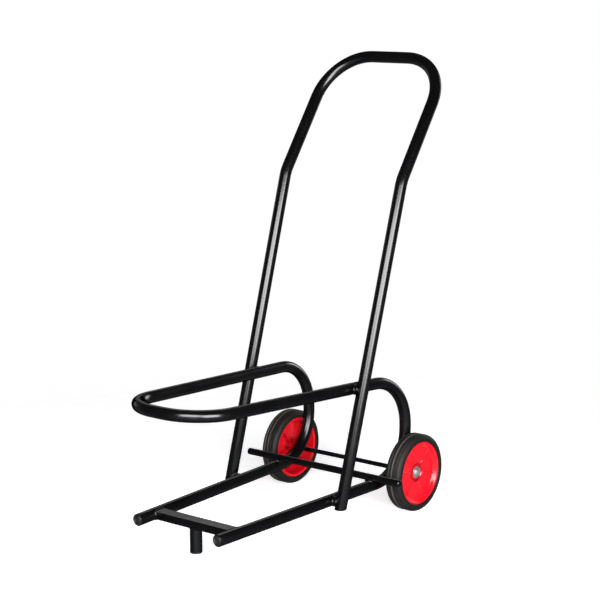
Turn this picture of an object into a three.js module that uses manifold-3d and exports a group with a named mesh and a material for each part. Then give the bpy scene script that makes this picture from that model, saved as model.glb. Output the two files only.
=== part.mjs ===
// Two-wheeled trolley for stacks of chairs. Millimetres, +Z up, +X to the right wheel, +Y to the rear.
// Every piece is modelled with the axle's line at y = 0 and the floor at z = 0, and the whole group is then
// moved so that the origin lies under the middle of its bounding box.
import * as THREE from 'three';
import { mergeVertices } from 'three/addons/utils/BufferGeometryUtils.js';
import Module from 'manifold-3d';

const wasm = await Module();
wasm.setup();

// Driving dimensions
const GAP = 0.3;                     // left between pieces that touch

const TUBE_OD = 30;                  // both bent tubes and the foot
const TUBE_WALL = 2;
const LOOP_HALF_WIDTH = 158;         // from the middle to the loop's side, measured at the axle
const LOOP_TAPER = 2.6;              // degrees by which each side of the loop turns in towards the front
const RAIL_Z = 82;                   // height of the rails' centreline above the floor, at the axle
const RAIL_SLOPE = 0.8;              // degrees by which the rails fall towards the front
const RAIL_FRONT_Y = -679;
const HOOP_Z = 339.5;                // height of the hoop's centreline at the axle
const HOOP_SLOPE = 2.35;             // degrees by which the hoop rises towards the front
const HOOP_NOSE_Y = -736.5;
const LOOP_REAR_Y = 22;
const REAR_LOWER_RADIUS = 123;
const REAR_UPPER_RADIUS = 129;
const NOSE_BEND_RADIUS = 113;

const HANDLE_HALF_WIDTH = 185.6;     // from the middle to each side, at the knee and above it
const LEG_BOTTOM_Y = -280;
const LEG_BOTTOM_Z = 62;
const LEG_LEAN = 16.7;               // degrees back from upright, below the knee
const LEG_TAPER = 0.4;               // degrees by which each leg turns in from the knee down
const KNEE_Z = 855.5;
const KNEE_RADIUS = 94.5;
const UPPER_LEAN = 34.7;             // degrees back from upright, above the knee
const HANDLE_TOP_Z = 1148.3;         // height of the grip bar's centreline
const HANDLE_CORNER_RADIUS = 129.5;
const SPACER_DIAMETER = 24;

const CROSSBAR_Y = -611.5;
const CROSSBAR_DEPTH = 35;
const CROSSBAR_HEIGHT = 20;
const CROSSBAR_WALL = 1.5;
const CROSSBAR_CORNER = 2.5;
const FOOT_CAP_HEIGHT = 4;
const PLUG_LENGTH = 14;
const PLUG_RIM_CHAMFER = 1;

const STOP_ROD_DIAMETER = 18;
const STOP_ROD_Y = -123.4;
const STOP_ROD_HALF_LENGTH = 249;
const STOP_ROD_CHAMFER = 3;

const AXLE_DIAMETER = 12;
const AXLE_Z = 100;
const WHEEL_RADIUS = 100;
const WHEEL_X = 204;                 // centre plane of each tyre
const TYRE_WIDTH = 46.4;
const TREAD_WIDTH = 30;
const SHOULDER_RADIUS = 91;
const FLANGE_RADIUS = 81.5;
const FLANGE_X = 21.2;               // outer face of the rim's flange, from the tyre's centre plane
const FLANGE_THICKNESS = 2.2;
const RIM_CHANNEL_RADIUS = 77.6;
const RIM_INNER_RADIUS = 73.5;
const WEB_OUTER_X = 11;              // outer face of the rim's web, beside the channel
const WEB_THICKNESS = 4;
const HUB_RADIUS = 19;
const HUB_INNER_X = -29;
const HUB_OUTER_X = 5;
const RIB_COUNT = 6;
const RIB_THICKNESS = 3;
const RIB_PHASE = 48;                // degrees from the horizontal to the first rib
const RIB_INNER_X = -13;
const RIB_OUTER_X = 13.5;
const BUSH_OUTER_RADIUS = 8.5;
const BUSH_BORE_RADIUS = 6.35;
const WASHER_THICKNESS = 1.6;
const INNER_WASHER_RADIUS = 14;
const OUTER_WASHER_RADIUS = 13;
const CAP_RADIUS = 15.5;
const CAP_HEIGHT = 6;
const CAP_GRIP_DEPTH = 4;

const TUBE_SIDES = 16;
const STEPS_PER_RIGHT_ANGLE = 6;
const WHEEL_SIDES = 36;
const SMALL_SIDES = 18;

const BLACK = { color: 0x0c0c0e, roughness: 0.32, metalness: 0.1 };
const PLUG_BLACK = { color: 0x2b2b2c, roughness: 0.6, metalness: 0 };
const RUBBER = { color: 0x1c1b1b, roughness: 0.75, metalness: 0 };
const RED = { color: 0xd80b22, roughness: 0.3, metalness: 0 };
const ZINC = { color: 0xb9bcbf, roughness: 0.3, metalness: 0.9 };
const NYLON = { color: 0xd8d6cc, roughness: 0.5, metalness: 0 };

const model = new THREE.Group();
const SIDES = [{ name: 'left', sign: -1 }, { name: 'right', sign: 1 }];
const tangent = (degrees) => Math.tan(THREE.MathUtils.degToRad(degrees));

// Places that follow from the dimensions
const loopX = (y) => LOOP_HALF_WIDTH + y * tangent(LOOP_TAPER);
const railZ = (y) => RAIL_Z + y * tangent(RAIL_SLOPE);
const hoopZ = (y) => HOOP_Z - y * tangent(HOOP_SLOPE);
const legY = (z) => LEG_BOTTOM_Y + (z - LEG_BOTTOM_Z) * tangent(LEG_LEAN);
const legX = (z) => HANDLE_HALF_WIDTH - (KNEE_Z - z) * tangent(LEG_TAPER);
const kneeY = legY(KNEE_Z);
const handleTopY = kneeY + (HANDLE_TOP_Z - KNEE_Z) * tangent(UPPER_LEAN);

// A path of straight runs and circular bends through corner points. One step spans each straight run, and each
// bend has steps of equal angle.
class BentPath extends THREE.Curve {
  constructor(corners) {
    super();
    this.stations = [];
    corners.forEach((corner, i) => {
      const before = corners[i - 1];
      const after = corners[i + 1];
      if (before && after) this.addBend(before.at, corner.at, after.at, corner.radius);
      else this.addEnd(corner.at, before ? before.at : after.at, Boolean(before));
    });
  }

  addEnd(at, neighbour, isLast) {
    const direction = at.clone().sub(neighbour).multiplyScalar(isLast ? 1 : -1).normalize();
    this.stations.push({ at: at.clone(), direction });
  }

  addBend(before, corner, after, radius) {
    const into = corner.clone().sub(before).normalize();
    const out = after.clone().sub(corner).normalize();
    const turn = into.angleTo(out);
    const start = corner.clone().addScaledVector(into, -radius * Math.tan(turn / 2));
    const inward = out.clone().addScaledVector(into, -out.dot(into)).normalize();
    const steps = Math.max(2, Math.round((turn / (Math.PI / 2)) * STEPS_PER_RIGHT_ANGLE));
    for (let i = 0; i <= steps; i += 1) {
      const angle = (turn * i) / steps;
      this.stations.push({
        at: start.clone()
          .addScaledVector(into, radius * Math.sin(angle))
          .addScaledVector(inward, radius * (1 - Math.cos(angle))),
        direction: into.clone().multiplyScalar(Math.cos(angle)).addScaledVector(inward, Math.sin(angle)),
      });
    }
  }

  get steps() {
    return this.stations.length - 1;
  }

  station(t) {
    return this.stations[Math.round(t * this.steps)];
  }

  getPoint(t, target = new THREE.Vector3()) {
    return target.copy(this.station(t).at);
  }

  getTangent(t, target = new THREE.Vector3()) {
    return target.copy(this.station(t).direction);
  }

  getUtoTmapping(u) {
    return u;
  }
}

function addMesh(name, geometry, finish, parent = model) {
  const mesh = new THREE.Mesh(geometry, new THREE.MeshStandardMaterial(finish));
  mesh.name = name;
  parent.add(mesh);
  return mesh;
}

function ringShape(outerRadius, innerRadius) {
  const shape = new THREE.Shape().absarc(0, 0, outerRadius, 0, 2 * Math.PI, false);
  shape.holes.push(new THREE.Path().absarc(0, 0, innerRadius, 0, 2 * Math.PI, true));
  return shape;
}

function bentTube(path) {
  return new THREE.ExtrudeGeometry(ringShape(TUBE_OD / 2, TUBE_OD / 2 - TUBE_WALL), {
    steps: path.steps,
    extrudePath: path,
    curveSegments: TUBE_SIDES / 2,
  });
}

// Slides the points within reach of a tube's end along the tube, so that its square cut becomes a level one
function levelEnd(geometry, end, reach) {
  const positions = geometry.getAttribute('position');
  const point = new THREE.Vector3();
  for (let i = 0; i < positions.count; i += 1) {
    point.fromBufferAttribute(positions, i).sub(end.at);
    if (point.length() > reach) continue;
    const along = point.dot(end.direction);
    const rise = point.z - along * end.direction.z;
    point.addScaledVector(end.direction, -rise / end.direction.z).add(end.at);
    positions.setXYZ(i, point.x, point.y, point.z);
  }
  return geometry;
}

// A turned piece about the X axis, from [x, radius] points. The profile ends on the axis or closes on itself.
function turned(profile, sides, closed = false) {
  const points = profile.map(([x, radius]) => new THREE.Vector2(radius, x));
  if (closed) points.push(points[0].clone());
  return new THREE.LatheGeometry(points, sides).rotateZ(-Math.PI / 2);
}

function turnedRing(fromX, toX, innerRadius, outerRadius, sides = SMALL_SIDES) {
  return turned([[fromX, innerRadius], [fromX, outerRadius], [toX, outerRadius], [toX, innerRadius]], sides, true);
}

function chamferedBar(fromX, toX, radius, chamfer) {
  return turned([
    [fromX, 0], [fromX, radius - chamfer], [fromX + chamfer, radius],
    [toX - chamfer, radius], [toX, radius - chamfer], [toX, 0],
  ], SMALL_SIDES);
}

// A solid cylinder along the line from one point to another, for cutting
function cylinderBetween(from, to, radius) {
  const axis = to.clone().sub(from);
  const geometry = new THREE.CylinderGeometry(radius, radius, axis.length(), 2 * SMALL_SIDES);
  const turn = new THREE.Quaternion().setFromUnitVectors(new THREE.Vector3(0, 1, 0), axis.clone().normalize());
  const middle = from.clone().add(to).multiplyScalar(0.5);
  return geometry.applyMatrix4(new THREE.Matrix4().compose(middle, turn, new THREE.Vector3(1, 1, 1)));
}

function toSolid(geometry) {
  const bare = geometry.clone();
  bare.deleteAttribute('normal');
  bare.deleteAttribute('uv');
  const merged = mergeVertices(bare, 1e-4);
  return new wasm.Manifold(new wasm.Mesh({
    numProp: 3,
    vertProperties: new Float32Array(merged.attributes.position.array),
    triVerts: new Uint32Array(merged.index.array),
  }));
}

function toGeometry(solid) {
  const mesh = solid.getMesh();
  const geometry = new THREE.BufferGeometry();
  geometry.setAttribute('position', new THREE.BufferAttribute(mesh.vertProperties, 3));
  geometry.setIndex(new THREE.BufferAttribute(mesh.triVerts, 1));
  geometry.computeVertexNormals();
  return geometry;
}

function cut(geometry, cutters) {
  return toGeometry(cutters.reduce((solid, cutter) => solid.subtract(toSolid(cutter)), toSolid(geometry)));
}

function join(geometry, additions) {
  return toGeometry(additions.reduce((solid, addition) => solid.add(toSolid(addition)), toSolid(geometry)));
}

// Room around a tube: its outside plus the gap, measured to the flats of the cutter
const TUBE_CLEARANCE = (TUBE_OD / 2 + GAP) / Math.cos(Math.PI / (2 * SMALL_SIDES));

function railCutter(sign) {
  const ends = [RAIL_FRONT_Y, -REAR_LOWER_RADIUS].map((y) => new THREE.Vector3(sign * loopX(y), y, railZ(y)));
  return cylinderBetween(ends[0], ends[1], TUBE_CLEARANCE);
}

function hoopCutter(sign) {
  const ends = [HOOP_NOSE_Y, -REAR_UPPER_RADIUS].map((y) => new THREE.Vector3(sign * loopX(y), y, hoopZ(y)));
  return cylinderBetween(ends[0], ends[1], TUBE_CLEARANCE);
}

function legCutter(sign) {
  const ends = [LEG_BOTTOM_Z, KNEE_Z].map((z) => new THREE.Vector3(sign * legX(z), legY(z), z));
  return cylinderBetween(ends[0], ends[1], TUBE_CLEARANCE);
}

// The loop's corners on one side, from the rail's front end to the nose
function loopSide(sign) {
  const corner = (y, z, radius) => ({ at: new THREE.Vector3(sign * loopX(y), y, z), radius });
  return [
    corner(RAIL_FRONT_Y, railZ(RAIL_FRONT_Y)),
    corner(LOOP_REAR_Y, railZ(LOOP_REAR_Y), REAR_LOWER_RADIUS),
    corner(LOOP_REAR_Y, hoopZ(LOOP_REAR_Y), REAR_UPPER_RADIUS),
    corner(HOOP_NOSE_Y, hoopZ(HOOP_NOSE_Y), NOSE_BEND_RADIUS),
  ];
}

function handleSide(sign) {
  const corner = (x, y, z, radius) => ({ at: new THREE.Vector3(sign * x, y, z), radius });
  return [
    corner(legX(LEG_BOTTOM_Z), LEG_BOTTOM_Y, LEG_BOTTOM_Z),
    corner(HANDLE_HALF_WIDTH, kneeY, KNEE_Z, KNEE_RADIUS),
    corner(HANDLE_HALF_WIDTH, handleTopY, HANDLE_TOP_Z, HANDLE_CORNER_RADIUS),
  ];
}

// A plug pushed flush into the open end of a tube, with the tube running on in the given direction
function tubePlug(at, direction) {
  const radius = TUBE_OD / 2 - TUBE_WALL - 2 * GAP;
  const plug = turned([
    [0, 0], [0, radius - PLUG_RIM_CHAMFER], [PLUG_RIM_CHAMFER, radius], [PLUG_LENGTH, radius], [PLUG_LENGTH, 0],
  ], SMALL_SIDES);
  const turn = new THREE.Quaternion().setFromUnitVectors(new THREE.Vector3(1, 0, 0), direction);
  return plug.applyMatrix4(new THREE.Matrix4().compose(at, turn, new THREE.Vector3(1, 1, 1)));
}

function addFrameTubes() {
  const loop = new BentPath([...loopSide(-1), ...loopSide(1).reverse()]);
  const handle = new BentPath([...handleSide(-1), ...handleSide(1).reverse()]);
  const handleEnds = [handle.stations[0], handle.stations[handle.steps]];
  addMesh('base_loop_tube', bentTube(loop), BLACK);
  addMesh('handle_tube', handleEnds.reduce((tube, end) => levelEnd(tube, end, TUBE_OD), bentTube(handle)), BLACK);
  const openEnds = [
    ['rail_end_plug_left', loop.stations[0], 1],
    ['rail_end_plug_right', loop.stations[loop.steps], -1],
    ['handle_end_plug_left', handleEnds[0], 1],
    ['handle_end_plug_right', handleEnds[1], -1],
  ];
  for (const [name, end, inward] of openEnds) {
    const plug = tubePlug(end.at, end.direction.clone().multiplyScalar(inward));
    addMesh(name, handleEnds.includes(end) ? levelEnd(plug, end, 2 * TUBE_OD) : plug, PLUG_BLACK);
  }
}

// Stubs that stand the handle's legs off the rails and off the hoop, coped to the tubes at both ends
function addLegSpacers() {
  for (const { name, sign } of SIDES) {
    const levels = [
      ['lower', railZ(legY(RAIL_Z)), railCutter(sign)],
      ['upper', hoopZ(legY(HOOP_Z)), hoopCutter(sign)],
    ];
    for (const [level, z, loopCutter] of levels) {
      const y = legY(z);
      const from = new THREE.Vector3(sign * loopX(y), y, z);
      const to = new THREE.Vector3(sign * legX(z), y, z);
      const stub = cylinderBetween(from, to, SPACER_DIAMETER / 2);
      addMesh(`leg_spacer_${level}_${name}`, cut(stub, [loopCutter, legCutter(sign)]), BLACK);
    }
  }
}

function roundedRectangle(width, height, radius, PathType) {
  const path = new PathType();
  const [x, y] = [width / 2 - radius, height / 2 - radius];
  path.absarc(x, y, radius, 0, Math.PI / 2, false);
  path.absarc(-x, y, radius, Math.PI / 2, Math.PI, false);
  path.absarc(-x, -y, radius, Math.PI, 1.5 * Math.PI, false);
  path.absarc(x, -y, radius, 1.5 * Math.PI, 2 * Math.PI, false);
  path.closePath();
  return path;
}

function addFrontCrossbar() {
  const section = roundedRectangle(CROSSBAR_DEPTH, CROSSBAR_HEIGHT, CROSSBAR_CORNER, THREE.Shape);
  section.holes.push(roundedRectangle(
    CROSSBAR_DEPTH - 2 * CROSSBAR_WALL,
    CROSSBAR_HEIGHT - 2 * CROSSBAR_WALL,
    CROSSBAR_CORNER - CROSSBAR_WALL,
    THREE.Path,
  ));
  const length = 2 * loopX(CROSSBAR_Y);
  const bar = new THREE.ExtrudeGeometry(section, { depth: length, steps: 1, bevelEnabled: false, curveSegments: 2 });
  bar.translate(0, 0, -length / 2).rotateX(Math.PI / 2).rotateZ(Math.PI / 2);
  bar.translate(0, CROSSBAR_Y, railZ(CROSSBAR_Y));
  addMesh('front_crossbar', cut(bar, [railCutter(-1), railCutter(1)]), BLACK);
}

function addFrontFoot() {
  const top = railZ(CROSSBAR_Y) - CROSSBAR_HEIGHT / 2 - GAP;
  const radius = TUBE_OD / 2;
  const stand = (geometry) => geometry.rotateY(-Math.PI / 2).translate(0, CROSSBAR_Y, 0);
  const tube = turnedRing(FOOT_CAP_HEIGHT + GAP, top, radius - TUBE_WALL, radius);
  const insert = radius - TUBE_WALL - 2 * GAP;
  const cap = turned([
    [0, 0], [0, radius - 1], [1, radius], [FOOT_CAP_HEIGHT, radius], [FOOT_CAP_HEIGHT, insert],
    [FOOT_CAP_HEIGHT + PLUG_LENGTH, insert], [FOOT_CAP_HEIGHT + PLUG_LENGTH, 0],
  ], SMALL_SIDES);
  addMesh('front_foot_tube', stand(tube), BLACK);
  addMesh('front_foot_cap', stand(cap), PLUG_BLACK);
}

function addRods() {
  const stopZ = railZ(STOP_ROD_Y) + (TUBE_OD + STOP_ROD_DIAMETER) / 2 + GAP;
  const stop = chamferedBar(-STOP_ROD_HALF_LENGTH, STOP_ROD_HALF_LENGTH, STOP_ROD_DIAMETER / 2, STOP_ROD_CHAMFER);
  addMesh('stop_rod', stop, BLACK).position.set(0, STOP_ROD_Y, stopZ);
  const axleEnd = WHEEL_X + capBaseX() + CAP_GRIP_DEPTH - GAP;
  const axle = chamferedBar(-axleEnd, axleEnd, AXLE_DIAMETER / 2, 1);
  addMesh('axle_rod', axle, BLACK).position.set(0, 0, AXLE_Z);
}

// Where the axle cap's rim starts, outboard of the tyre's centre plane
function capBaseX() {
  return HUB_OUTER_X + WASHER_THICKNESS + 2 * GAP;
}

function tyreGeometry() {
  const side = TYRE_WIDTH / 2;
  const tread = TREAD_WIDTH / 2;
  const bead = FLANGE_X - FLANGE_THICKNESS - GAP;
  const lip = FLANGE_RADIUS + 2 * GAP;
  const seat = RIM_CHANNEL_RADIUS + GAP;
  const shoulder = [(side + tread) / 2 + 1, (WHEEL_RADIUS + SHOULDER_RADIUS) / 2 + 2];
  return turned([
    [-bead, seat], [-bead, lip], [-side, lip], [-side, SHOULDER_RADIUS], [-shoulder[0], shoulder[1]],
    [-tread, WHEEL_RADIUS], [tread, WHEEL_RADIUS],
    [shoulder[0], shoulder[1]], [side, SHOULDER_RADIUS], [side, lip], [bead, lip], [bead, seat],
  ], WHEEL_SIDES, true);
}

function rimGeometry() {
  const flangeInner = FLANGE_X - FLANGE_THICKNESS;
  const bore = BUSH_OUTER_RADIUS + GAP;
  const webInner = WEB_OUTER_X - WEB_THICKNESS;
  const wheel = turned([
    [HUB_INNER_X, bore], [HUB_INNER_X, HUB_RADIUS], [webInner - 4, HUB_RADIUS], [webInner, RIM_INNER_RADIUS],
    [-FLANGE_X, RIM_INNER_RADIUS], [-FLANGE_X, FLANGE_RADIUS], [-flangeInner, FLANGE_RADIUS],
    [-flangeInner, RIM_CHANNEL_RADIUS], [flangeInner, RIM_CHANNEL_RADIUS], [flangeInner, FLANGE_RADIUS],
    [FLANGE_X, FLANGE_RADIUS], [FLANGE_X, RIM_INNER_RADIUS + 1], [WEB_OUTER_X, RIM_INNER_RADIUS - 4],
    [WEB_OUTER_X - 2, HUB_RADIUS + 3], [HUB_OUTER_X, HUB_RADIUS - 1], [HUB_OUTER_X, bore],
  ], WHEEL_SIDES, true);
  const inner = HUB_RADIUS - 4;
  const outer = RIM_INNER_RADIUS + 1;
  const ribs = Array.from({ length: RIB_COUNT }, (_, i) => {
    const rib = new THREE.Shape([
      new THREE.Vector2(RIB_INNER_X, inner), new THREE.Vector2(RIB_INNER_X, outer),
      new THREE.Vector2(RIB_OUTER_X, outer), new THREE.Vector2(HUB_OUTER_X - 1, inner),
    ].reverse());
    const geometry = new THREE.ExtrudeGeometry(rib, { depth: RIB_THICKNESS, bevelEnabled: false });
    geometry.translate(0, 0, -RIB_THICKNESS / 2);
    return geometry.rotateX(THREE.MathUtils.degToRad(RIB_PHASE + (360 * i) / RIB_COUNT));
  });
  return join(wheel, ribs);
}

function capGeometry() {
  const base = capBaseX();
  const grip = AXLE_DIAMETER / 2 + GAP;
  const top = base + CAP_HEIGHT;
  return turned([
    [base + CAP_GRIP_DEPTH, 0], [base + CAP_GRIP_DEPTH, grip], [base, grip], [base, CAP_RADIUS],
    [base + 1.5, CAP_RADIUS], [base + 2.2, CAP_RADIUS - 2.5], [top - 1.2, CAP_RADIUS - 5],
    [top, CAP_RADIUS - 8.5], [top, 0],
  ], SMALL_SIDES);
}

function addWheel({ name, sign }) {
  const wheel = new THREE.Group();
  wheel.position.set(sign * WHEEL_X, 0, AXLE_Z);
  if (sign < 0) wheel.rotation.z = Math.PI;
  model.add(wheel);
  const add = (piece, geometry, finish) => addMesh(`${piece}_${name}`, geometry, finish, wheel);
  add('tyre', tyreGeometry(), RUBBER);
  add('rim', rimGeometry(), RED);
  add('hub_bush', turnedRing(HUB_INNER_X, HUB_OUTER_X, BUSH_BORE_RADIUS, BUSH_OUTER_RADIUS), NYLON);
  const innerFrom = HUB_INNER_X - GAP - WASHER_THICKNESS;
  const outerFrom = HUB_OUTER_X + GAP;
  add('inner_washer', turnedRing(innerFrom, innerFrom + WASHER_THICKNESS, BUSH_BORE_RADIUS, INNER_WASHER_RADIUS), ZINC);
  add('outer_washer', turnedRing(outerFrom, outerFrom + WASHER_THICKNESS, BUSH_BORE_RADIUS, OUTER_WASHER_RADIUS), ZINC);
  add('axle_cap', capGeometry(), ZINC);
}

addFrameTubes();
addLegSpacers();
addFrontCrossbar();
addFrontFoot();
addRods();
SIDES.forEach(addWheel);

const box = new THREE.Box3().setFromObject(model, true);
model.position.y = -(box.min.y + box.max.y) / 2;

export default model;
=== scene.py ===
import math

import bpy
from mathutils import Matrix, Vector, noise


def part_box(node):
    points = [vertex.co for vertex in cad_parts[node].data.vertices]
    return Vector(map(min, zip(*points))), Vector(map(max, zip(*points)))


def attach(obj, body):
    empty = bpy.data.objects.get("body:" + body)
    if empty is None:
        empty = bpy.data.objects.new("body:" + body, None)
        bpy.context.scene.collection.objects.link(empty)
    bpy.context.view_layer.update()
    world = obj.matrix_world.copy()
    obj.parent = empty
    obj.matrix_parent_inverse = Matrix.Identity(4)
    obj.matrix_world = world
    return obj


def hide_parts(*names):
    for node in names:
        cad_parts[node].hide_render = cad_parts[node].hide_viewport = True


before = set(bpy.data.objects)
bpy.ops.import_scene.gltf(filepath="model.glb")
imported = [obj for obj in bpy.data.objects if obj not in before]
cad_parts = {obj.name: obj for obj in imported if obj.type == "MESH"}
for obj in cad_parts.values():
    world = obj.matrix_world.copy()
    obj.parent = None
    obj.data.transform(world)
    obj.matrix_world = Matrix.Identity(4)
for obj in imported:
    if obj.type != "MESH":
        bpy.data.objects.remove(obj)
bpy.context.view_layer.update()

# ---------------------------------------------------------------- dimensions, in millimetres
# Working frame: the axle's line at y = 0, the floor at z = 0, +X to the right wheel, +Y to the rear.
TUBE_R, TUBE_WALL = 15.0, 2.0
LOOP_HALF_WIDTH, LOOP_TAPER = 158.0, 2.6
RAIL_Z, RAIL_SLOPE, RAIL_FRONT_Y = 82.0, 0.8, -679.0
HOOP_Z, HOOP_SLOPE, HOOP_NOSE_Y = 339.5, 2.35, -736.5
LOOP_REAR_Y, LOWER_BEND, UPPER_BEND, NOSE_BEND = 22.0, 123.0, 129.0, 113.0
HANDLE_X = 185.6                                 # at the knee and above it
LEG_BOTTOM_Y, LEG_BOTTOM_Z, LEG_LEAN, LEG_TAPER = -280.0, 62.0, 16.7, 0.4
KNEE_Z, KNEE_BEND, UPPER_LEAN = 855.5, 94.5, 34.7
# The grip is 0.35 low, so that the smooth tube stays inside the box of the frame's faceted one.
HANDLE_TOP_Z, HANDLE_BEND = 1147.95, 129.5
SPACER_R = 12.0
PLUG_LENGTH = 14.0
BEAD_R, WIDE_BEAD_R = 2.3, 2.5                   # weld beads
CROSSBAR_Y, CROSSBAR_DEPTH, CROSSBAR_HEIGHT, CROSSBAR_CORNER = -611.5, 35.0, 20.0, 2.0
FOOT_CAP_HEIGHT, FOOT_INSERT_TOP = 4.0, 17.0
STOP_R, STOP_Y, STOP_HALF = 9.0, -123.4, 249.0
AXLE_R, AXLE_Z = 6.0, 100.0
WHEEL_X, WHEEL_R = 204.0, 100.0                  # the tyre's centre plane, and its tread
TREAD_GROOVES, TREAD_LINES = (-9.6, 0.0, 9.6), (-1.8, 1.8, 11.2)
TREAD_EDGE, GROOVE_DEPTH = 12.6, 1.5
KNURLS, KNURL_DEPTH = 180, 0.45
CHANNEL_R, HUB_R, HUB_BORE_R = 73.5, 19.0, 8.7
WEB_R, WEB_X = (26.0, 70.0), (7.4, 9.5)          # the web's outer face, at the hub and at the flange
RIB_PHASE, RIB_COUNT, RIB_RISE, RIB_INNER_X = 48.0, 6, 3.4, -13.0
RIB_STEPS = (0.0, 0.5, 0.9, 1.2, 1.5, 1.8, 2.2, 2.8, 3.6, 5.0)
HUB_RING_R, FLANGE_SHADE_R = 21.5, 70.5         # where the red is painted deeper, as shade
CAP_R, INNER_WASHER_R, OUTER_WASHER_R = 15.5, 14.0, 13.0
BUSH_R, FITTING_BORE_R = 8.6, 6.3

AXLE_LO, AXLE_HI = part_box("axle_rod")
AXLE_Y = (AXLE_LO[1] + AXLE_HI[1]) / 2          # the axle's line in the row frame, in metres
X_AXIS, Y_AXIS, Z_AXIS = Vector((1, 0, 0)), Vector((0, 1, 0)), Vector((0, 0, 1))
SIDES = (("left", -1), ("right", 1))


def slope(degrees):
    return math.tan(math.radians(degrees))


def loop_x(y):
    return LOOP_HALF_WIDTH + y * slope(LOOP_TAPER)


def rail_z(y):
    return RAIL_Z + y * slope(RAIL_SLOPE)


def hoop_z(y):
    return HOOP_Z - y * slope(HOOP_SLOPE)


def leg_y(z):
    return LEG_BOTTOM_Y + (z - LEG_BOTTOM_Z) * slope(LEG_LEAN)


def leg_x(z):
    return HANDLE_X - (KNEE_Z - z) * slope(LEG_TAPER)


def in_frame(p):
    return (p[0] / 1000, p[1] / 1000 + AXLE_Y, p[2] / 1000)


def smoothstep(a, b, x):
    t = min(1.0, max(0.0, (x - a) / (b - a)))
    return t * t * (3 - 2 * t)


# ---------------------------------------------------------------- materials
class Graph:
    """Short ways to build a node tree on one kind of coordinates."""

    def __init__(self, tree, coordinates):
        self.tree = tree
        self.where = tree.nodes.new("ShaderNodeTexCoord").outputs[coordinates]

    def node(self, kind, settings=None, **inputs):
        made = self.tree.nodes.new(kind)
        for key, value in (settings or {}).items():
            setattr(made, key, value)
        for key, value in inputs.items():
            numbered = key[0] == "i" and key[1:].isdigit()
            self.put(made.inputs[int(key[1:]) if numbered else key.replace("_", " ")], value)
        return made

    def put(self, socket, value):
        if isinstance(value, bpy.types.NodeSocket):
            self.tree.links.new(value, socket)
        else:
            socket.default_value = value

    def noise(self, scale, detail=3.0, rough=0.5):
        return self.node("ShaderNodeTexNoise", Vector=self.where, Scale=scale, Detail=detail,
                         Roughness=rough).outputs["Fac"]

    def math(self, operation, a, b=0.0, c=0.0):
        return self.node("ShaderNodeMath", {"operation": operation}, i0=a, i1=b, i2=c).outputs[0]

    def span(self, value, from_lo, from_hi, to_lo, to_hi):
        made = self.node("ShaderNodeMapRange", i0=value, i1=from_lo, i2=from_hi, i3=to_lo, i4=to_hi)
        return made.outputs[0]

    def mix(self, factor, a, b):
        return self.node("ShaderNodeMix", {"data_type": "RGBA"}, i0=factor, i6=a, i7=b).outputs[2]

    def bump(self, height, strength, distance, normal=None):
        made = self.node("ShaderNodeBump", Height=height, Strength=strength, Distance=distance)
        if normal:
            self.put(made.inputs["Normal"], normal)
        return made.outputs["Normal"]

    def dot(self, vector, direction):
        made = self.node("ShaderNodeVectorMath", {"operation": "DOT_PRODUCT"}, i0=vector, i1=direction)
        return made.outputs["Value"]


class Nodes(Graph):
    """A procedural material on the object's own coordinates."""

    def __init__(self, name, rough, metal=0.0, spec=0.5):
        self.material = bpy.data.materials.new(name)
        self.material.use_nodes = True
        super().__init__(self.material.node_tree, "Object")
        self.shader = self.tree.nodes["Principled BSDF"]
        self.shader.inputs["Roughness"].default_value = rough
        self.shader.inputs["Metallic"].default_value = metal
        self.shader.inputs["Specular IOR Level"].default_value = spec

    def finish(self, colour, rough, normal):
        for name, value in (("Base Color", colour), ("Roughness", rough), ("Normal", normal)):
            self.put(self.shader.inputs[name], value)
        return self.material


def powder_coat():
    """Satin black paint, paler on what faces up: partly dust, partly a painted sheen. Its gloss dies away at a
    glancing angle.
    """
    n = Nodes("black_powder_coat", 0.3)
    peel = n.noise(520.0, 2.0)
    grain = n.noise(2600.0, 2.0)
    cloud = n.noise(14.0, 4.0)
    patches = n.span(cloud, 0.35, 0.65, 0.0, 1.0)
    colour = n.mix(patches, (0.0007, 0.0007, 0.0008, 1), (0.0014, 0.0013, 0.0015, 1))
    upward = n.dot(n.node("ShaderNodeNewGeometry").outputs["Normal"], (0.0, 0.0, 1.0))
    # painted sheen with a little dust: what faces up is painted paler
    colour = n.mix(n.span(upward, 0.9, 1.0, 0.0, 1.0), colour, (0.066, 0.064, 0.063, 1))
    glancing = n.node("ShaderNodeLayerWeight").outputs["Facing"]
    n.put(n.shader.inputs["Specular IOR Level"], n.span(glancing, 0.5, 0.7, 0.5, 0.0))
    rough = n.math("ADD", n.span(cloud, 0.3, 0.7, 0.16, 0.22), n.span(grain, 0.3, 0.7, -0.02, 0.03))
    normal = n.bump(grain, 0.05, 0.0002, n.bump(peel, 0.10, 0.0004))
    return n.finish(colour, rough, normal)


def moulded_plastic(name, dark, light, rough, spec=0.5):
    n = Nodes(name, rough, spec=spec)
    cloud = n.noise(60.0, 3.0)
    grain = n.noise(1800.0, 2.0)
    colour = n.mix(n.span(cloud, 0.35, 0.65, 0.0, 1.0), dark, light)
    return n.finish(colour, n.span(cloud, 0.3, 0.7, rough - 0.05, rough + 0.05), n.bump(grain, 0.18, 0.0003))


def zinc_plate():
    n = Nodes("zinc_plate", 0.3, metal=0.75)
    cloud = n.noise(90.0, 4.0, 0.6)
    fine = n.noise(1500.0, 2.0)
    colour = n.mix(n.span(cloud, 0.35, 0.65, 0.0, 1.0), (0.20, 0.205, 0.205, 1), (0.36, 0.36, 0.35, 1))
    return n.finish(colour, n.span(cloud, 0.3, 0.7, 0.45, 0.58), n.bump(fine, 0.12, 0.0003))


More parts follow.
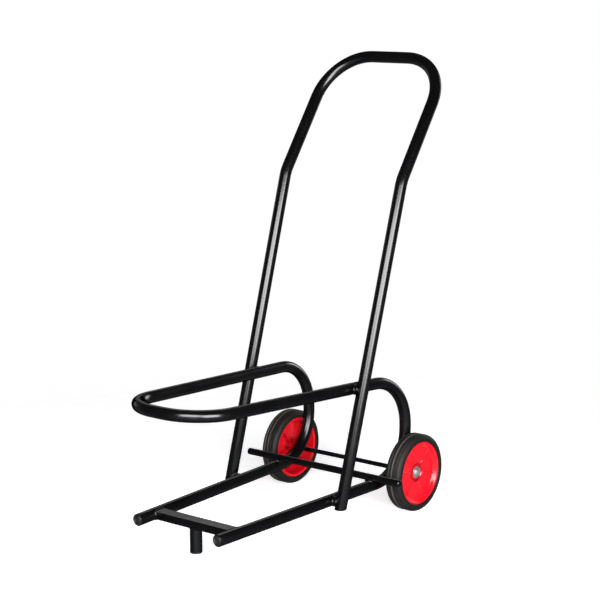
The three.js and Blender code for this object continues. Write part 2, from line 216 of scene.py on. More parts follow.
def tyre_rubber():
    """Dark rubber, with a thin pale line along each of TREAD_LINES on the tread: a painted highlight at the
    groove edges, with a worn tint.
    """
    n = Nodes("tyre_rubber", 0.55, spec=0.25)
    cloud = n.noise(35.0, 4.0, 0.6)
    grain = n.noise(1600.0, 3.0)
    colour = n.mix(n.span(cloud, 0.3, 0.7, 0.0, 1.0), (0.0045, 0.0038, 0.0034, 1), (0.0090, 0.0074, 0.0066, 1))
    x = n.math("SUBTRACT", n.math("ABSOLUTE", n.dot(n.where, (1.0, 0.0, 0.0))), WHEEL_X / 1000)
    for line in TREAD_LINES:
        off = n.math("ABSOLUTE", n.math("SUBTRACT", x, line / 1000))
        # painted highlight along a groove edge, tinted like wear
        wear_and_highlight = n.math("MULTIPLY", n.span(off, 0.0005, 0.0012, 1.0, 0.0), n.span(cloud, 0.25, 0.7, 0.55, 1.0))
        colour = n.mix(wear_and_highlight, colour, (0.085, 0.071, 0.062, 1))
    return n.finish(colour, n.span(cloud, 0.3, 0.7, 0.48, 0.62), n.bump(grain, 0.25, 0.0004))


def red_plastic():
    """Bright red moulding, painted deeper red as shade in a ring round the hub's recess and in a line where the
    web meets the flange.
    """
    n = Nodes("red_plastic", 0.2, spec=0.45)
    cloud = n.noise(28.0, 3.0)
    grain = n.noise(900.0, 2.0)
    colour = n.mix(n.span(cloud, 0.3, 0.7, 0.0, 1.0), (0.50, 0.0026, 0.0090, 1), (0.58, 0.0038, 0.0125, 1))
    y = n.math("SUBTRACT", n.dot(n.where, (0.0, 1.0, 0.0)), AXLE_Y)
    z = n.math("SUBTRACT", n.dot(n.where, (0.0, 0.0, 1.0)), AXLE_Z / 1000)
    radius = n.math("SQRT", n.math("ADD", n.math("MULTIPLY", y, y), n.math("MULTIPLY", z, z)))
    # painted shade: a deeper red ring in the recess round the hub
    from_ring = n.math("ABSOLUTE", n.math("SUBTRACT", radius, HUB_RING_R / 1000))
    painted_hub_shade = n.span(from_ring, 0.0030, 0.0050, 0.85, 0.0)
    # painted shade: a deeper red line where the web meets the flange's slope
    from_flange_shade = n.math("ABSOLUTE", n.math("SUBTRACT", radius, FLANGE_SHADE_R / 1000))
    painted_flange_shade = n.span(from_flange_shade, 0.0004, 0.0016, 0.18, 0.0)
    colour = n.mix(n.math("ADD", painted_hub_shade, painted_flange_shade), colour, (0.22, 0.0008, 0.0032, 1))
    return n.finish(colour, n.span(cloud, 0.3, 0.7, 0.16, 0.24), n.bump(grain, 0.08, 0.0004))


COAT = powder_coat()
PLUG = moulded_plastic("black_plastic", (0.008, 0.008, 0.0085, 1), (0.014, 0.0137, 0.014, 1), 0.34, spec=0.35)
ZINC = zinc_plate()
RUBBER = tyre_rubber()
RED = red_plastic()
NYLON = moulded_plastic("nylon", (0.62, 0.60, 0.52, 1), (0.74, 0.72, 0.64, 1), 0.45)


# ---------------------------------------------------------------- mesh makers
def piece(name, verts, faces, material, body="frame", replaces=(), sharp=35):
    mesh = bpy.data.meshes.new(name)
    mesh.from_pydata([in_frame(v) for v in verts], [], faces)
    mesh.materials.append(material)
    mesh.shade_smooth()
    mesh.set_sharp_from_angle(angle=math.radians(sharp))
    made = bpy.data.objects.new(name, mesh)
    bpy.context.scene.collection.objects.link(made)
    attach(made, body)
    if replaces:
        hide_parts(*replaces)
    return made


def grid_faces(rows, columns, wrap_rows, wrap_columns):
    """Quads between rows of columns points each."""
    faces = []
    for i in range(rows if wrap_rows else rows - 1):
        for j in range(columns if wrap_columns else columns - 1):
            a, b = i * columns, ((i + 1) % rows) * columns
            k = (j + 1) % columns
            faces.append((a + j, a + k, b + k, b + j))
    return faces


def circle(centre, u, v, radius, count):
    return [centre + (u * math.cos(t) + v * math.sin(t)) * radius
            for t in (2 * math.pi * i / count for i in range(count))]


def cross_axes(direction):
    helper = X_AXIS if abs(direction.x) < 0.8 else Z_AXIS
    u = direction.cross(helper).normalized()
    return u, direction.cross(u).normalized()


def carried_axes(directions):
    """Axes across each direction in turn, carried along without twist."""
    u, v = cross_axes(directions[0])
    axes = [(u, v)]
    for before, now in zip(directions, directions[1:]):
        turn = before.rotation_difference(now)
        u, v = turn @ u, turn @ v
        axes.append((u, v))
    return axes


def bent_path(corners, step=4.5):
    """Stations (point, direction) along straight runs and circular bends through (corner, radius) pairs."""
    stations = []
    for i, (corner, radius) in enumerate(corners):
        if i == 0:
            stations.append((corner, (corners[1][0] - corner).normalized()))
        elif i == len(corners) - 1:
            stations.append((corner, (corner - corners[i - 1][0]).normalized()))
        else:
            into = (corner - corners[i - 1][0]).normalized()
            out = (corners[i + 1][0] - corner).normalized()
            turn = into.angle(out)
            start = corner - into * radius * math.tan(turn / 2)
            inward = (out - into * out.dot(into)).normalized()
            steps = max(3, round(math.degrees(turn) / step))
            for k in range(steps + 1):
                a = turn * k / steps
                stations.append((start + into * radius * math.sin(a) + inward * radius * (1 - math.cos(a)),
                                 into * math.cos(a) + inward * math.sin(a)))
    return stations


def levelled(point, end, direction):
    """The point slid along a tube's direction, so that square sections near its end become level."""
    offset = point - end
    offset -= direction * offset.dot(direction)
    return point - direction * (offset.z / direction.z)


def hollow_tube(name, stations, replaces, sides=48, level_ends=False):
    """A tube of constant wall along stations, with its ends softened and cut square, or else level."""
    bore = TUBE_R - TUBE_WALL
    axes = carried_axes([d for _, d in stations])
    outer = [(p, a, TUBE_R) for (p, _), a in zip(stations, axes)]
    inner = [(p, a, bore) for (p, _), a in zip(stations, axes)]
    lips = []
    for (point, direction), along, axis in ((stations[0], 1, axes[0]), (stations[-1], -1, axes[-1])):
        lip = ((0.0, bore), (0.0, bore + 0.5), (0.0, TUBE_R - 0.6), (0.18, TUBE_R - 0.18), (0.7, TUBE_R))
        lips.append([(point + direction * along * depth, axis, radius) for depth, radius in lip])
    rings = lips[0] + outer[1:-1] + lips[1][::-1] + inner[::-1][1:-1]
    verts = [p for centre, (u, v), radius in rings for p in circle(centre, u, v, radius, sides)]
    for end, direction in (stations[0], stations[-1]) if level_ends else ():
        verts = [levelled(p, end, direction) if (p - end).length < 2 * TUBE_R else p for p in verts]
    return piece(name, verts, grid_faces(len(rings), sides, True, True), COAT, replaces=replaces)


def turned(name, origin, direction, profile, material, body="frame", replaces=(), sides=64, sharp=35,
           level=False):
    """A turned piece from (distance along direction, radius) points, ended on the axis or closed on itself."""
    u, v = cross_axes(direction)
    solid = profile[0][1] == 0 and profile[-1][1] == 0
    inside = profile[1:-1] if solid else profile
    verts = [p for along, radius in inside for p in circle(origin + direction * along, u, v, radius, sides)]
    if level:
        verts = [levelled(p, origin, direction) for p in verts]
    faces = grid_faces(len(inside), sides, not solid, True)
    if solid:
        for along, row, flip in ((profile[0][0], 0, 1), (profile[-1][0], len(inside) - 1, 0)):
            tip = len(verts)
            verts.append(origin + direction * along)
            ring = [row * sides + j for j in range(sides)]
            for j in range(sides):
                pair = (ring[(j + 1) % sides], ring[j]) if flip else (ring[j], ring[(j + 1) % sides])
                faces.append((tip, *pair))
    return piece(name, verts, faces, material, body, replaces, sharp)


def rounded(points, radius, steps=4):
    """A profile with each corner between its two ends rounded."""
    out = [points[0]]
    for a, b, c in zip(points, points[1:], points[2:]):
        pa, pb, pc = Vector(a), Vector(b), Vector(c)
        r = min(radius, (pb - pa).length * 0.45, (pc - pb).length * 0.45)
        p0, p1 = pb + (pa - pb).normalized() * r, pb + (pc - pb).normalized() * r
        for k in range(steps + 1):
            t = k / steps
            out.append(tuple(p0 * (1 - t) ** 2 + pb * 2 * t * (1 - t) + p1 * t * t))
    out.append(points[-1])
    return out


def on_cylinder(point, direction, tube_point, tube_direction, radius):
    """Where a line first meets a cylinder, or the point of its nearest approach where it misses."""
    def across(w):
        return w - tube_direction * w.dot(tube_direction)

    m, d = across(point - tube_point), across(direction)
    a, b, c = d.dot(d), m.dot(d), m.dot(m) - radius * radius
    inside = b * b - a * c
    return point + direction * ((-b - math.sqrt(max(0.0, inside))) / a)


def evenly(points, spacing):
    """Points at even spacing round a closed loop."""
    loop = points + [points[0]]
    lengths = [0.0]
    for a, b in zip(loop, loop[1:]):
        lengths.append(lengths[-1] + (b - a).length)
    count = max(12, round(lengths[-1] / spacing))
    out, k = [], 0
    for i in range(count):
        s = lengths[-1] * i / count
        while lengths[k + 1] < s:
            k += 1
        t = (s - lengths[k]) / max(1e-9, lengths[k + 1] - lengths[k])
        out.append(loop[k].lerp(loop[k + 1], t))
    return out, lengths[-1]


def weld_bead(name, points, size, pitch=2.6, sides=10):
    """A rippled weld bead round a closed loop of points."""
    loop, length = evenly(points, pitch / 5)
    ripples = max(6, round(length / pitch))
    count = len(loop)
    verts = []
    for i, p in enumerate(loop):
        direction = (loop[(i + 1) % count] - loop[i - 1]).normalized()
        u, v = cross_axes(direction)
        phase = (i * ripples / count) % 1.0
        ripple = 0.90 + 0.13 * math.sin(math.pi * phase) ** 0.8
        wander = 1 + 0.10 * noise.noise(p * 0.16) + 0.05 * noise.noise(p * 0.7)
        verts += circle(p, u, v, size * ripple * wander, sides)
    # each ring's axes come from its own direction, so its points are matched to the next ring's nearest ones
    faces = []
    for i in range(count):
        a, b = i * sides, ((i + 1) % count) * sides
        here, there = verts[a:a + sides], verts[b:b + sides]
        shift = min(range(sides), key=lambda s: sum((here[j] - there[(j + s) % sides]).length_squared
                                                    for j in range(sides)))
        for j in range(sides):
            k = (j + 1) % sides
            faces.append((a + j, a + k, b + (k + shift) % sides, b + (j + shift) % sides))
    return piece(name, verts, faces, COAT, sharp=80)


# ---------------------------------------------------------------- the two bent tubes and their plugs
def side_lines(sign):
    """The straight tubes of one side, as (point, direction): rail, hoop and leg."""
    rail = Vector((sign * loop_x(0), 0, rail_z(0)))
    hoop = Vector((sign * loop_x(0), 0, hoop_z(0)))
    leg = Vector((sign * leg_x(0), leg_y(0), 0))
    rail_d = (Vector((sign * loop_x(1), 1, rail_z(1))) - rail).normalized()
    hoop_d = (Vector((sign * loop_x(1), 1, hoop_z(1))) - hoop).normalized()
    leg_d = (Vector((sign * leg_x(1), leg_y(1), 1)) - leg).normalized()
    return {"rail": (rail, rail_d), "hoop": (hoop, hoop_d), "leg": (leg, leg_d)}


def loop_corners(sign):
    def at(y, z):
        return Vector((sign * loop_x(y), y, z))

    return [(at(RAIL_FRONT_Y, rail_z(RAIL_FRONT_Y)), 0),
            (at(LOOP_REAR_Y, rail_z(LOOP_REAR_Y)), LOWER_BEND),
            (at(LOOP_REAR_Y, hoop_z(LOOP_REAR_Y)), UPPER_BEND),
            (at(HOOP_NOSE_Y, hoop_z(HOOP_NOSE_Y)), NOSE_BEND)]


def handle_corners(sign):
    knee_y = leg_y(KNEE_Z)
    top_y = knee_y + (HANDLE_TOP_Z - KNEE_Z) * slope(UPPER_LEAN)
    return [(Vector((sign * leg_x(LEG_BOTTOM_Z), LEG_BOTTOM_Y, LEG_BOTTOM_Z)), 0),
            (Vector((sign * HANDLE_X, knee_y, KNEE_Z)), KNEE_BEND),
            (Vector((sign * HANDLE_X, top_y, HANDLE_TOP_Z)), HANDLE_BEND)]


def end_plug(name, point, inward, node, level):
    """A plug pressed into a tube's open end: a low dome and a groove inside a rounded rim."""
    r = TUBE_R - TUBE_WALL
    profile = [(0.5, 0), (0.55, 3.0), (0.8, 5.5), (1.3, 7.2), (2.1, 8.5), (3.0, 9.2), (3.3, 9.6), (3.2, 10.1),
               (2.0, 10.6), (0.9, 11.0), (0.35, 11.6), (0.25, 12.2), (0.55, r - 0.12), (1.2, r - 0.05),
               (6.0, r - 0.05), (6.4, r - 0.5), (PLUG_LENGTH, r - 0.7), (PLUG_LENGTH, 0)]
    turned(name, point, inward, profile, PLUG, replaces=(node,), sides=48, sharp=50, level=level)


def build_tubes():
    loop = bent_path(loop_corners(-1) + loop_corners(1)[::-1])
    handle = bent_path(handle_corners(-1) + handle_corners(1)[::-1])
    hollow_tube("loop_tube_fine", loop, ("base_loop_tube",))
    hollow_tube("handle_tube_fine", handle, ("handle_tube",), level_ends=True)
    for stations, kind in ((loop, "rail"), (handle, "handle")):
        for side, (point, direction), inward in (("left", stations[0], 1), ("right", stations[-1], -1)):
            end_plug(f"{kind}_plug_fine_{side}", point, direction * inward, f"{kind}_end_plug_{side}",
                     kind == "handle")


# ---------------------------------------------------------------- stubs between the legs and the loop
def build_spacers():
    sides = 64
    for side, sign in SIDES:
        lines = side_lines(sign)
        outward = X_AXIS * sign
        heights = {"rail": rail_z(leg_y(RAIL_Z)), "hoop": hoop_z(leg_y(HOOP_Z))}
        for level, tube in (("lower", "rail"), ("upper", "hoop")):
            z = heights[tube]
            middle = Vector((sign * (loop_x(leg_y(z)) + leg_x(z)) / 2, leg_y(z), z))
            around = circle(middle, Y_AXIS, Z_AXIS, SPACER_R, sides)
            to_loop = [on_cylinder(p, -outward, *lines[tube], TUBE_R) for p in around]
            to_leg = [on_cylinder(p, outward, *lines["leg"], TUBE_R) for p in around]
            verts = [p - outward * 0.6 for p in to_loop] + [p + outward * 0.6 for p in to_leg]
            caps = [tuple(range(sides)), tuple(range(2 * sides - 1, sides - 1, -1))]
            piece(f"spacer_{level}_fine_{side}", verts, grid_faces(2, sides, False, True) + caps, COAT,
                  replaces=(f"leg_spacer_{level}_{side}",))
            weld_bead(f"weld_spacer_{level}_loop_{side}", [p + outward * 0.5 for p in to_loop], BEAD_R)
            weld_bead(f"weld_spacer_{level}_leg_{side}", [p - outward * 0.5 for p in to_leg], BEAD_R)


# ---------------------------------------------------------------- the front crossbar and its foot
def bar_outline(depth, height, corner, flat_steps=8, corner_steps=5):
    """A rounded rectangle in the y-z plane, evenly stepped."""
    points = []
    for cy, cz, start in ((1, 1, 0), (-1, 1, 90), (-1, -1, 180), (1, -1, 270)):
        centre = Vector((0, cy * (depth / 2 - corner), cz * (height / 2 - corner)))
        for k in range(corner_steps + 1):
            a = math.radians(start + 90 * k / corner_steps)
            points.append(centre + Vector((0, math.cos(a), math.sin(a))) * corner)
    out = []
    for a, b in zip(points, points[1:] + points[:1]):
        steps = flat_steps if (b - a).length > 2 * corner else 1
        out += [a.lerp(b, k / steps) for k in range(steps)]
    return out


def build_crossbar():
    centre = Vector((0, CROSSBAR_Y, rail_z(CROSSBAR_Y)))
    outline = [centre + p for p in bar_outline(CROSSBAR_DEPTH, CROSSBAR_HEIGHT, CROSSBAR_CORNER)]
    count = len(outline)
    ends = {sign: [on_cylinder(p, X_AXIS * sign, *side_lines(sign)["rail"], TUBE_R) for p in outline]
            for _, sign in SIDES}
    verts = [p - X_AXIS * 0.8 for p in ends[-1]] + [p + X_AXIS * 0.8 for p in ends[1]]
    caps = [tuple(range(count)), tuple(range(2 * count - 1, count - 1, -1))]
    piece("crossbar_fine", verts, grid_faces(2, count, False, True) + caps, COAT, replaces=("front_crossbar",))
    for side, sign in SIDES:
        weld_bead(f"weld_crossbar_{side}", [p - X_AXIS * sign * 0.6 for p in ends[sign]], WIDE_BEAD_R)


def build_foot():
    base = Vector((0, CROSSBAR_Y, 0))
    top = rail_z(CROSSBAR_Y) - CROSSBAR_HEIGHT / 2
    r, bore, insert = TUBE_R, TUBE_R - TUBE_WALL, TUBE_R - TUBE_WALL - 0.6
    low, high = FOOT_CAP_HEIGHT + 0.4, top + 0.2
    tube = rounded([(low, bore), (low, r), (high, r), (high, bore), (low, bore)], 0.5)[:-1]
    turned("foot_tube_fine", base, Z_AXIS, tube, COAT, replaces=("front_foot_tube",))
    cap = [(0.6, 0), (0.5, 6.0), (0.0, 8.0), (0.0, r - 1.6), (0.25, r - 0.75), (0.8, r - 0.15), (1.6, r + 0.05),
           (FOOT_CAP_HEIGHT - 0.4, r + 0.05), (FOOT_CAP_HEIGHT, r - 0.35), (FOOT_CAP_HEIGHT + 0.1, insert),
           (FOOT_INSERT_TOP, insert), (FOOT_INSERT_TOP, 0)]
    turned("foot_cap_fine", base, Z_AXIS, cap, PLUG, replaces=("front_foot_cap",), sides=64, sharp=50)
    # the fillet weld at the foot's top spreads along the bar and stays narrow where the bar's edges are close
    sides, rows, bead_reach, bead_drop = 96, 7, 7.5, 7.0
    angles = [2 * math.pi * j / sides for j in range(sides)]
    verts = []
    for k in range(rows):
        t = k / (rows - 1)
        for a in angles:
            reach = min(bead_reach, (CROSSBAR_DEPTH / 2 - 0.8) / max(0.3, abs(math.sin(a))) - r)
            wander = noise.noise(Vector((math.cos(a), math.sin(a), 2.0)) * 1.7)
            ripple = 1 + 0.05 * math.sin(44 * a) + 0.06 * wander
            out, down = reach * ripple * (1 - t) ** 1.9, bead_drop * ripple * t ** 1.9
            radius = r - 0.2 + out
            verts.append(base + Vector((math.cos(a) * radius, math.sin(a) * radius, top + 0.3 - down)))
    # two rings inside the foot tube's wall close the bead
    for z in (top + 0.3 - bead_drop, top + 0.3):
        verts += [base + Vector((math.cos(a) * (r - 1.2), math.sin(a) * (r - 1.2), z)) for a in angles]
    piece("weld_foot", verts, grid_faces(rows + 2, sides, True, True), COAT, sharp=60)


# ---------------------------------------------------------------- the two rods
def crossing_loop(contact, along_tube, across, outward, tube_radius, rod_radius, gap):
    """Where the space between a tube and a rod crossing it at right angles reaches gap, as a closed loop."""
    points = []
    for i in range(72):
        a = 2 * math.pi * i / 72
        lo, hi = 0.0, min(tube_radius, rod_radius) * 1.2
        for _ in range(30):
            s = (lo + hi) / 2
            tube_drop = tube_radius - math.sqrt(max(0, tube_radius ** 2 - (s * math.cos(a)) ** 2))
            reach = min(rod_radius, s * abs(math.sin(a)))
            rod_rise = rod_radius - math.sqrt(max(0, rod_radius ** 2 - reach ** 2))
            lo, hi = (s, hi) if tube_drop + rod_rise < gap else (lo, s)
        lift = outward * (rod_rise - tube_drop) / 2
        points.append(contact + across * s * math.cos(a) + along_tube * s * math.sin(a) + lift)
    return points


def bar_profile(half, radius, edge):
    left = rounded([(-half, 0.1), (-half, radius - edge), (-half + edge, radius), (0, radius)], edge * 0.6)
    right = rounded([(0, radius), (half - edge, radius), (half, radius - edge), (half, 0.1)], edge * 0.6)
    return [(-half, 0)] + left[1:-1] + right[1:-1] + [(half, 0)]


def build_rods():
    stop_z = rail_z(STOP_Y) + TUBE_R + STOP_R
    turned("stop_rod_fine", Vector((0, STOP_Y, stop_z)), X_AXIS, bar_profile(STOP_HALF, STOP_R, 2.4), COAT,
           replaces=("stop_rod",), sides=48, sharp=50)
    axle_half = (AXLE_HI[0] - AXLE_LO[0]) * 500
    turned("axle_rod_fine", Vector((0, 0, AXLE_Z)), X_AXIS, bar_profile(axle_half, AXLE_R, 1.0), COAT,
           replaces=("axle_rod",), sides=40, sharp=50)
    path = bent_path(loop_corners(1))
    for side, sign in SIDES:
        rail_d = side_lines(sign)["rail"][1]
        contact = Vector((sign * loop_x(STOP_Y), STOP_Y, stop_z - STOP_R))
        loop = crossing_loop(contact, rail_d, X_AXIS, Z_AXIS, TUBE_R, STOP_R, 3.6)
        weld_bead(f"weld_stop_rod_{side}", loop, WIDE_BEAD_R)
        # the axle touches the outside of the lower rear bend
        near = min(path, key=lambda s: (Vector((0, s[0].y, s[0].z - AXLE_Z))).length)
        outward = Vector((0, -near[0].y, AXLE_Z - near[0].z)).normalized()
        contact = Vector((sign * near[0].x, near[0].y, near[0].z)) + outward * TUBE_R
        along = Vector((0, near[1].y, near[1].z)).normalized()
        loop = crossing_loop(contact, along, X_AXIS, outward, TUBE_R, AXLE_R, 3.2)
        weld_bead(f"weld_axle_{side}", loop, BEAD_R)


# ---------------------------------------------------------------- wheels
WHEEL_ORIGIN = {side: Vector((sign * WHEEL_X, 0, AXLE_Z)) for side, sign in SIDES}


def wheel_point(side, x, radius, angle):
    """x is outboard from the tyre's centre plane; angle is from the rear, upwards."""
    sign = dict(SIDES)[side]
    return WHEEL_ORIGIN[side] + Vector((sign * x, radius * math.cos(angle), radius * math.sin(angle)))


def tyre_profile():
    """(x, radius, knurl) points from the inner bead over the tread to the outer bead."""
    side = [(18.7, 77.9, 0), (18.7, 81.8, 0), (20.6, 82.1, 0), (22.2, 82.6, 0), (22.9, 83.8, 0),
            (23.1, 85.5, 0), (23.2, 88.0, 0), (23.1, 90.0, 0), (22.8, 91.6, 0), (22.4, 92.8, 0.3),
            (21.9, 93.9, 1), (21.1, 95.4, 1), (20.1, 96.9, 1), (18.9, 98.1, 1), (17.5, 98.9, 0.6),
            (16.2, 99.35, 0), (15.4, 99.5, 0), (14.7, 99.8, 0), (13.8, 99.98, 0)]
    tread = []
    x = TREAD_EDGE
    while x > -TREAD_EDGE - 0.1:
        near = min(TREAD_GROOVES, key=lambda g: abs(g - x))
        d = abs(x - near)
        depth = GROOVE_DEPTH * (1 - smoothstep(0.5, 1.5, d))
        crown = 0.25 * (1 - smoothstep(1.3, 3.0, d))
        tread.append((x, WHEEL_R - depth - crown, 0))
        x -= 0.45 if d < 2.6 else 0.9
    return side + tread + [(-a, b, c) for a, b, c in side[::-1]]


def build_tyre(side):
    dips = (0.0, KNURL_DEPTH, KNURL_DEPTH)
    columns = KNURLS * len(dips)
    profile = tyre_profile()
    verts = []
    for x, radius, knurl in profile:
        for j in range(columns):
            dip = dips[j % len(dips)] * knurl
            inset = math.copysign(0.4, x) * dip
            verts.append(wheel_point(side, x - inset, radius - dip, 2 * math.pi * j / columns))
    piece(f"tyre_fine_{side}", verts, grid_faces(len(profile), columns, True, True), RUBBER, f"wheel_{side}",
          (f"tyre_{side}",), sharp=40)


def rib_angles(side, radius):
    """Column angles with (distance from the nearest rib's middle line) for one radius, going round once."""
    phase = RIB_PHASE if side == "right" else 180 - RIB_PHASE
    half = math.pi / RIB_COUNT
    edge = math.asin(RIB_STEPS[-1] / radius)
    spread = [(math.asin(d / radius), d) for d in RIB_STEPS]
    fill = 6
    for k in range(1, fill):
        a = edge + (half - edge) * k / fill
        spread.append((a, radius * math.sin(a)))
    out = []
    for i in range(RIB_COUNT):
        middle = math.radians(phase + 360 * i / RIB_COUNT)
        out += [(middle - a, d) for a, d in spread[:0:-1]]
        out += [(middle + a, d) for a, d in spread]
        out.append((middle + half, radius * math.sin(half)))
    return out


def web_outer(radius):
    """The outer face of the rim's web: a shallow cone."""
    return WEB_X[0] + (radius - WEB_R[0]) * (WEB_X[1] - WEB_X[0]) / (WEB_R[1] - WEB_R[0])


def build_rim(side):
    rows = []

    def row(radius, x_of):
        """x_of takes the distance from the nearest rib."""
        rows.append([wheel_point(side, x_of(d), radius, a) for a, d in rib_angles(side, max(radius, HUB_R))])

    def outer_x(radius):
        face = web_outer(radius)
        rise = RIB_RISE * smoothstep(27.0, 33.0, radius)
        return lambda d: face + rise * (1 - smoothstep(0.5, 2.8, d))

    def floor_x(radius):
        base = 1.5 + 4.0 * (radius - HUB_R) / (CHANNEL_R - HUB_R)
        return lambda d: base + (RIB_INNER_X - base) * (1 - smoothstep(1.05, 1.75, d))

    def flat(x):
        return lambda d: x

    # outer side: bore, hub floor, recess, web, slope and rolled flange
    for x, radius in ((5.0, HUB_BORE_R), (5.0, 12.0), (4.5, 16.0), (3.9, 19.6), (3.9, 21.6), (4.6, 23.0),
                      (6.0, 24.2), (7.2, 25.2)):
        row(radius, flat(x))
    for radius in (26.2, 27.4, 28.6, 29.8, 31.0, 33.0, 36.0, 42.0, 48.0, 54.0, 60.0, 65.0, 67.5):
        row(radius, outer_x(radius))
    top = outer_x(67.5)
    for x, radius in ((9.75, 69.0), (10.4, 70.3), (11.6, 71.4), (13.4, 72.3), (15.4, 73.1), (17.4, 73.9),
                      (19.0, 74.8), (20.2, 76.0), (20.9, 77.3), (21.2, 78.8), (21.1, 80.2), (20.6, 81.0),
                      (19.9, 81.45), (19.2, 81.5), (19.0, 81.3)):
        row(radius, lambda d, x=x: max(x, top(d) + 0.1 * (x - WEB_X[1])))
    # the tyre's seat, the inner flange, the channel's inside, the web's inner face and the hub
    row(77.7, flat(18.9))
    row(77.6, flat(-18.9))
    for x, radius in ((-19.0, 81.3), (-19.3, 81.5), (-20.1, 81.4), (-20.8, 80.8), (-21.15, 79.8), (-21.2, 78.0),
                      (-21.1, 75.2), (-20.8, 74.2), (-20.0, 73.7)):
        row(radius, flat(x))
    wall = floor_x(CHANNEL_R)
    for t in (0.0, 0.25, 0.5, 0.75, 0.93):
        row(CHANNEL_R, lambda d, t=t: -19.0 + (wall(d) + 19.0) * t)
    for radius in (73.2, 72.4, 66.0, 58.0, 50.0, 42.0, 34.0, 28.0, 23.0, 20.2, 19.4):
        row(radius, floor_x(radius))
    hub_wall = floor_x(HUB_R)
    for t in (0.93, 0.6, 0.3, 0.03):
        row(HUB_R, lambda d, t=t: -28.2 + (hub_wall(d) + 28.2) * t)
    for x, radius in ((-28.8, 18.7), (-29.0, 18.1), (-29.0, 12.0), (-29.0, HUB_BORE_R)):
        row(radius, flat(x))
    columns = len(rows[0])
    piece(f"rim_fine_{side}", [p for r in rows for p in r], grid_faces(len(rows), columns, True, True), RED,
          f"wheel_{side}", (f"rim_{side}",), sharp=38)


def ring_profile(lo, hi, inner, outer, edge):
    return rounded([(lo, inner), (lo, outer), (hi, outer), (hi, inner), (lo, inner)], edge, 3)[:-1]


def build_wheel_fittings(side):
    sign = dict(SIDES)[side]
    origin, outward = WHEEL_ORIGIN[side], X_AXIS * sign
    for kind, node, lo, hi, radius, edge, material, body in (
            ("bush", "hub_bush", -29.2, 5.1, BUSH_R, 0.4, NYLON, f"wheel_{side}"),
            ("inner_washer", "inner_washer", -30.9, -29.3, INNER_WASHER_R, 0.35, ZINC, "frame"),
            ("outer_washer", "outer_washer", 5.3, 6.9, OUTER_WASHER_R, 0.35, ZINC, "frame")):
        profile = ring_profile(lo, hi, FITTING_BORE_R, radius, edge)
        turned(f"{kind}_fine_{side}", origin, outward, profile, material, body, (f"{node}_{side}",), sides=48)
    cap = [(7.2, 6.1), (7.2, 14.9), (7.35, 15.35), (7.8, CAP_R), (8.4, 15.35), (8.8, 14.8), (8.9, 14.0),
           (8.7, 13.0), (8.3, 12.2), (8.25, 11.6), (8.5, 11.0), (9.2, 10.5), (10.3, 10.0), (11.4, 9.1),
           (12.3, 7.6), (12.8, 5.6), (13.1, 3.2), (13.2, 1.2), (13.2, 0.3), (11.6, 0.3), (11.4, 6.1)]
    node = f"axle_cap_{side}"
    turned(f"axle_cap_fine_{side}", origin, outward, cap, ZINC, "frame", (node,), sides=56, sharp=50)


# ---------------------------------------------------------------- stage
STUDIO_CENTRE = Vector((0.0, 0.03, 0.0))


def softbox(name, azimuth, distance, low, high, width, strength, side_fade=0.25, low_fade=0.25, top_fade=0.25):
    """A glowing screen that faces the object from a bearing. Metres; azimuth 0 is in front and +90 at the right.
    Each fade is the share of the screen's width or height over which that edge dies away."""
    a = math.radians(azimuth)
    out = Vector((math.sin(a), -math.cos(a), 0))
    across = Vector((math.cos(a), math.sin(a), 0))
    middle = STUDIO_CENTRE + out * distance + Z_AXIS * (low + high) / 2
    facing = (STUDIO_CENTRE + Z_AXIS * 0.5 - middle).normalized()
    up = facing.cross(across).normalized()
    if up.z < 0:
        up = -up
    mesh = bpy.data.meshes.new(name)
    mesh.from_pydata([(-0.5, -0.5, 0), (0.5, -0.5, 0), (0.5, 0.5, 0), (-0.5, 0.5, 0)], [], [(0, 1, 2, 3)])
    n = Nodes(name, 1.0)
    at = n.node("ShaderNodeSeparateXYZ", i0=n.where)
    fade = n.span(n.math("ABSOLUTE", at.outputs[0]), 0.5 - side_fade, 0.5, 1.0, 0.0)
    fade = n.math("MULTIPLY", fade, n.span(at.outputs[1], -0.5, -0.5 + low_fade, 0.0, 1.0))
    fade = n.math("MULTIPLY", fade, n.span(at.outputs[1], 0.5 - top_fade, 0.5, 1.0, 0.0))
    glow = n.node("ShaderNodeEmission", Strength=n.math("MULTIPLY", fade, strength))
    n.tree.links.new(glow.outputs[0], n.tree.nodes["Material Output"].inputs["Surface"])
    mesh.materials.append(n.material)
    made = bpy.data.objects.new(name, mesh)
    bpy.context.scene.collection.objects.link(made)
    made.matrix_world = Matrix(((across.x * width, up.x * (high - low), -facing.x, middle.x),
                                (across.y * width, up.y * (high - low), -facing.y, middle.y),
                                (across.z * width, up.z * (high - low), -facing.z, middle.z),
                                (0, 0, 0, 1)))
    made.visible_camera = False
    made.visible_shadow = False


def build_world():
    """White behind the object; as light, dim all round, with a soft glow from below at the front and right, and a
    fainter one low down behind."""
    world = bpy.data.worlds.new("studio")
    bpy.context.scene.world = world
    world.use_nodes = True
    g = Graph(world.node_tree, "Generated")
    below = g.span(g.dot(g.where, (0.0, 0.0, 1.0)), -0.30, 0.03, 1.0, 0.0)
    ahead = g.span(g.dot(g.where, (0.77, -0.64, 0.0)), 0.15, 0.8, 0.03, 0.52)
    behind = g.span(g.dot(g.where, (-0.63, 0.78, 0.0)), 0.1, 0.7, 0.0, 0.13)
    low = g.span(g.dot(g.where, (0.0, 0.0, 1.0)), 0.05, 0.45, 1.0, 0.0)
    around = g.math("MULTIPLY_ADD", behind, low, 0.06)
    glow = g.math("MULTIPLY_ADD", below, ahead, around)
    dim = g.node("ShaderNodeBackground", Color=(0.88, 0.92, 1.0, 1), Strength=glow)
    backdrop = g.node("ShaderNodeBackground", Color=(1, 1, 1, 1))
    seen = g.node("ShaderNodeLightPath").outputs["Is Camera Ray"]
    mixed = g.node("ShaderNodeMixShader", i0=seen, i1=dim.outputs[0], i2=backdrop.outputs[0])
    g.tree.links.new(mixed.outputs[0], g.tree.nodes["World Output"].inputs["Surface"])


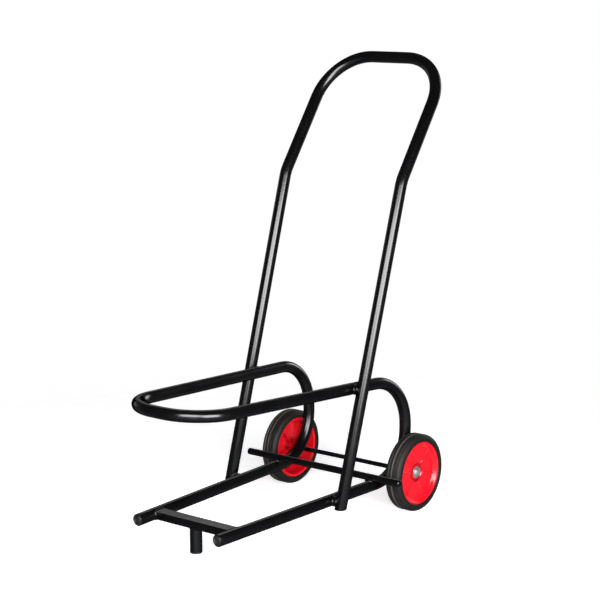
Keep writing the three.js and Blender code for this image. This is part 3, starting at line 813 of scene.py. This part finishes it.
def build_stage():
    scene = bpy.context.scene
    scene.view_settings.view_transform = "Standard"
    build_world()
    softbox("softbox_front", 26.5, 2.5, 0.15, 1.95, 2.0, 15.0, side_fade=0.15, low_fade=0.5, top_fade=0.12)
    softbox("glow_front_low", 30, 2.5, -1.5, 0.3, 1.3, 0.9, side_fade=0.3, low_fade=0.3, top_fade=0.1)
    softbox("softbox_right", 65, 2.5, -0.15, 1.7, 1.8, 17.0, side_fade=0.15, low_fade=0.4, top_fade=0.12)
    softbox("glow_back_left", -141, 6.0, 0.3, 2.6, 4.0, 0.45)
    softbox("glow_left_low", -100, 5.0, 0.2, 2.0, 4.5, 0.8)
    softbox("glow_back", 178, 5.0, -0.3, 3.0, 2.6, 4.0)

    # a pale floor that fades into the white backdrop a little way out
    n = Nodes("pale_floor", 0.9, spec=0.1)
    n.shader.inputs["Base Color"].default_value = (0.96, 0.96, 0.96, 1)
    n.shader.inputs["Emission Color"].default_value = (1, 1, 1, 1)
    n.shader.inputs["Emission Strength"].default_value = 0.56
    at = n.node("ShaderNodeVectorMath", {"operation": "LENGTH"}, i0=n.where).outputs["Value"]
    clear = n.node("ShaderNodeBsdfTransparent")
    outer = n.span(at, 0.8, 1.7, 0.0, 1.0)
    fade = n.node("ShaderNodeMixShader", i0=outer, i1=n.shader.outputs[0], i2=clear.outputs[0])
    n.tree.links.new(fade.outputs[0], n.tree.nodes["Material Output"].inputs["Surface"])
    mesh = bpy.data.meshes.new("floor")
    mesh.from_pydata([(x * 4, y * 4, 0) for x, y in ((-1, -1), (1, -1), (1, 1), (-1, 1))], [], [(0, 1, 2, 3)])
    mesh.materials.append(n.material)
    floor = bpy.data.objects.new("floor", mesh)
    floor.visible_glossy = False
    scene.collection.objects.link(floor)


def build_camera():
    azimuth, elevation, distance = math.radians(38.73), math.radians(10.42), 4.343
    level = math.cos(elevation)
    forward = Vector((-math.sin(azimuth) * level, math.cos(azimuth) * level, -math.sin(elevation)))
    target = Vector((0.0280, AXLE_Y - 0.250, 0.5656))
    data = bpy.data.cameras.new("camera")
    data.sensor_width = 36.0
    data.lens = 105.0
    camera = bpy.data.objects.new("camera", data)
    bpy.context.scene.collection.objects.link(camera)
    camera.location = target - forward * distance
    camera.rotation_mode = "QUATERNION"
    camera.rotation_quaternion = forward.to_track_quat("-Z", "Y")
    bpy.context.scene.camera = camera


build_tubes()
build_spacers()
build_crossbar()
build_foot()
build_rods()
for side, _ in SIDES:
    build_tyre(side)
    build_rim(side)
    build_wheel_fittings(side)
build_stage()
build_camera()
